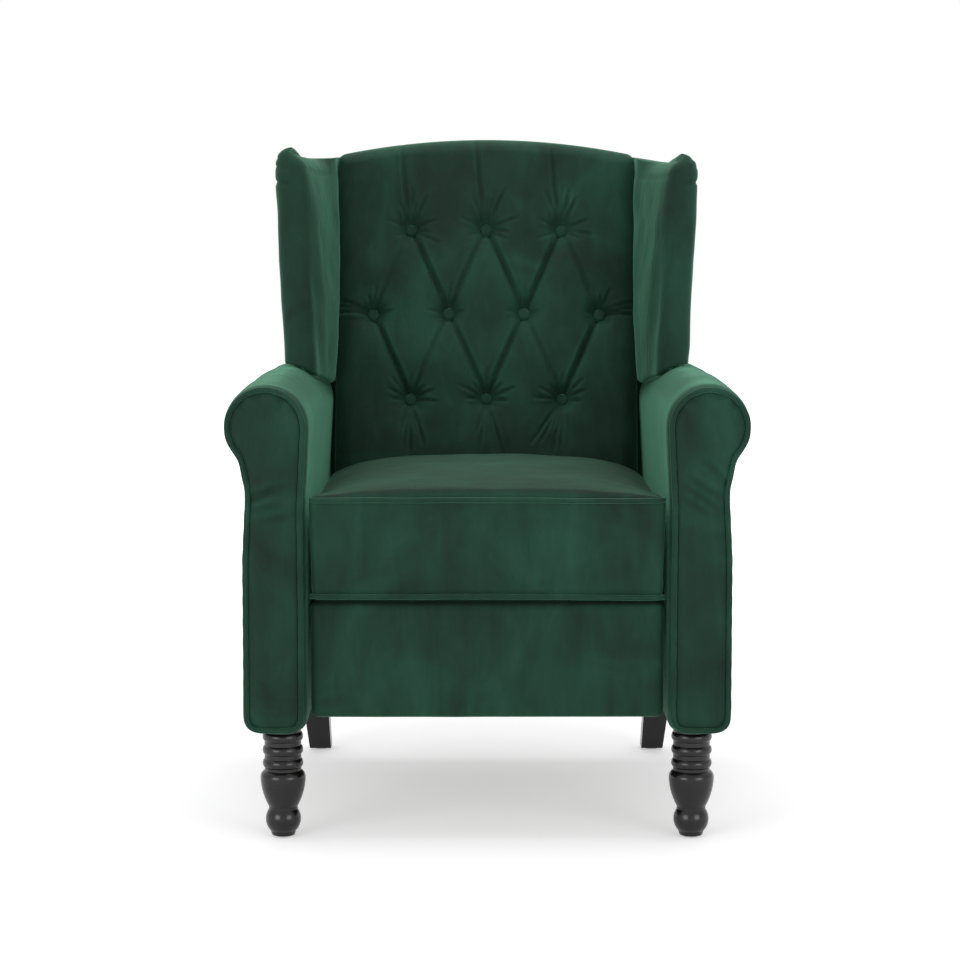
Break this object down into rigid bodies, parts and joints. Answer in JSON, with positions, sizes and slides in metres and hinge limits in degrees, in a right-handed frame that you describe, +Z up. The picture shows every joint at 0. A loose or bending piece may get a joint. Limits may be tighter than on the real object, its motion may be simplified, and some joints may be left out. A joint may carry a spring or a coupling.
{
  "type": "wingback recliner",
  "caption": "Push-back wing chair with rolled arms, button-tufted reclining back, crowned seat, fold-out footrest and turned front legs.",
  "frame": {"origin": "centre of the chair's footprint on the floor", "axes": "+Z up, the front of the chair faces -Y, +X to the right seen from the front"},
  "size_m": [0.734, 0.8075, 1.0025],
  "materials": {
    "velvet": "emerald crushed velvet with a soft nap",
    "velvet_piping": "velvet covered piping cord",
    "black_wood": "black satin lacquer",
    "frame_wood": "bare hardwood and plywood",
    "black_steel": "black enamelled steel",
    "zinc_steel": "zinc plated",
    "spring_steel": "oiled spring wire",
    "nylon": "moulded nylon"
  },
  "bodies": {
    "base": {"left_front_leg": "black_wood", "right_front_leg": "black_wood", "left_rear_leg": "black_wood", "right_rear_leg": "black_wood", "leg_glides": "nylon", "leg_bolts": "zinc_steel", "left_arm_frame": "frame_wood", "right_arm_frame": "frame_wood", "left_arm_cover": "velvet", "right_arm_cover": "velvet", "left_arm_facing": "velvet", "right_arm_facing": "velvet", "left_arm_piping": "velvet_piping", "right_arm_piping": "velvet_piping", "base_stretcher": "frame_wood", "rear_rail": "velvet", "left_slide_rail": "black_steel", "right_slide_rail": "black_steel"},
    "seat": {"left_seat_plate": "black_steel", "right_seat_plate": "black_steel", "guide_rollers": "nylon", "seat_plate_studs": "zinc_steel", "seat_cross_straps": "black_steel", "seat_frame": "frame_wood", "seat_springs": "spring_steel", "seat_cushion": "velvet", "seat_piping": "velvet_piping"},
    "drive_links": {"left_drive_link": "black_steel", "right_drive_link": "black_steel", "drive_link_rivets": "zinc_steel"},
    "rear_links": {"left_rear_link": "black_steel", "right_rear_link": "black_steel"},
    "swing_links": {"left_swing_link": "black_steel", "right_swing_link": "black_steel", "swing_link_rivets": "zinc_steel"},
    "front_links": {"left_front_link": "black_steel", "right_front_link": "black_steel"},
    "footrest": {"left_footrest_bracket": "black_steel", "right_footrest_bracket": "black_steel", "footrest_board": "frame_wood", "footrest_pad": "velvet", "footrest_screws": "zinc_steel"},
    "backrest": {"left_back_bracket": "black_steel", "right_back_bracket": "black_steel", "recline_bolts": "zinc_steel", "left_back_stile": "frame_wood", "right_back_stile": "frame_wood", "back_rails": "frame_wood", "back_springs": "spring_steel", "back_pad": "velvet", "tufting_buttons": "velvet", "outer_back_panel": "velvet", "left_back_side_pad": "velvet", "right_back_side_pad": "velvet", "left_wing_frame": "frame_wood", "right_wing_frame": "frame_wood", "left_wing_pad": "velvet", "right_wing_pad": "velvet"}
  },
  "joints": [
    {"name": "seat_slide", "type": "slide", "parent": "base", "child": "seat", "axis": [0, -1, 0], "range_m": [0, 0.04]},
    {"name": "drive_link_pivot", "type": "hinge", "parent": "seat", "child": "drive_links", "pos_m": [0, -0.2938, 0.33], "axis": [-1, 0, 0], "range_deg": [0, 108.2]},
    {"name": "rear_link_pivot", "type": "hinge", "parent": "seat", "child": "rear_links", "pos_m": [0, -0.2523, 0.305], "axis": [-1, 0, 0], "range_deg": [0, 108.12]},
    {"name": "swing_link_pivot", "type": "hinge", "parent": "drive_links", "child": "swing_links", "pos_m": [0, -0.1747, 0.2261], "axis": [-1, 0, 0], "range_deg": [-113.75, 0]},
    {"name": "front_link_pivot", "type": "hinge", "parent": "drive_links", "child": "front_links", "pos_m": [0, -0.1449, 0.2], "axis": [-1, 0, 0], "range_deg": [-112.99, 0]},
    {"name": "footrest_pivot", "type": "hinge", "parent": "swing_links", "child": "footrest", "pos_m": [0, -0.318, 0.332], "axis": [-1, 0, 0], "range_deg": [0, 93.34]},
    {"name": "back_recline", "type": "hinge", "parent": "seat", "child": "backrest", "pos_m": [0, 0.234, 0.33], "axis": [-1, 0, 0], "range_deg": [0, 30]}
  ],
  "couplings": [
    {"joint": "drive_link_pivot", "follows": "seat_slide", "rad_per_m": 47.124},
    {"joint": "rear_link_pivot", "follows": "seat_slide", "rad_per_m": 47.089},
    {"joint": "swing_link_pivot", "follows": "seat_slide", "rad_per_m": -49.546},
    {"joint": "front_link_pivot", "follows": "seat_slide", "rad_per_m": -49.214},
    {"joint": "footrest_pivot", "follows": "seat_slide", "rad_per_m": 40.64}
  ]
}
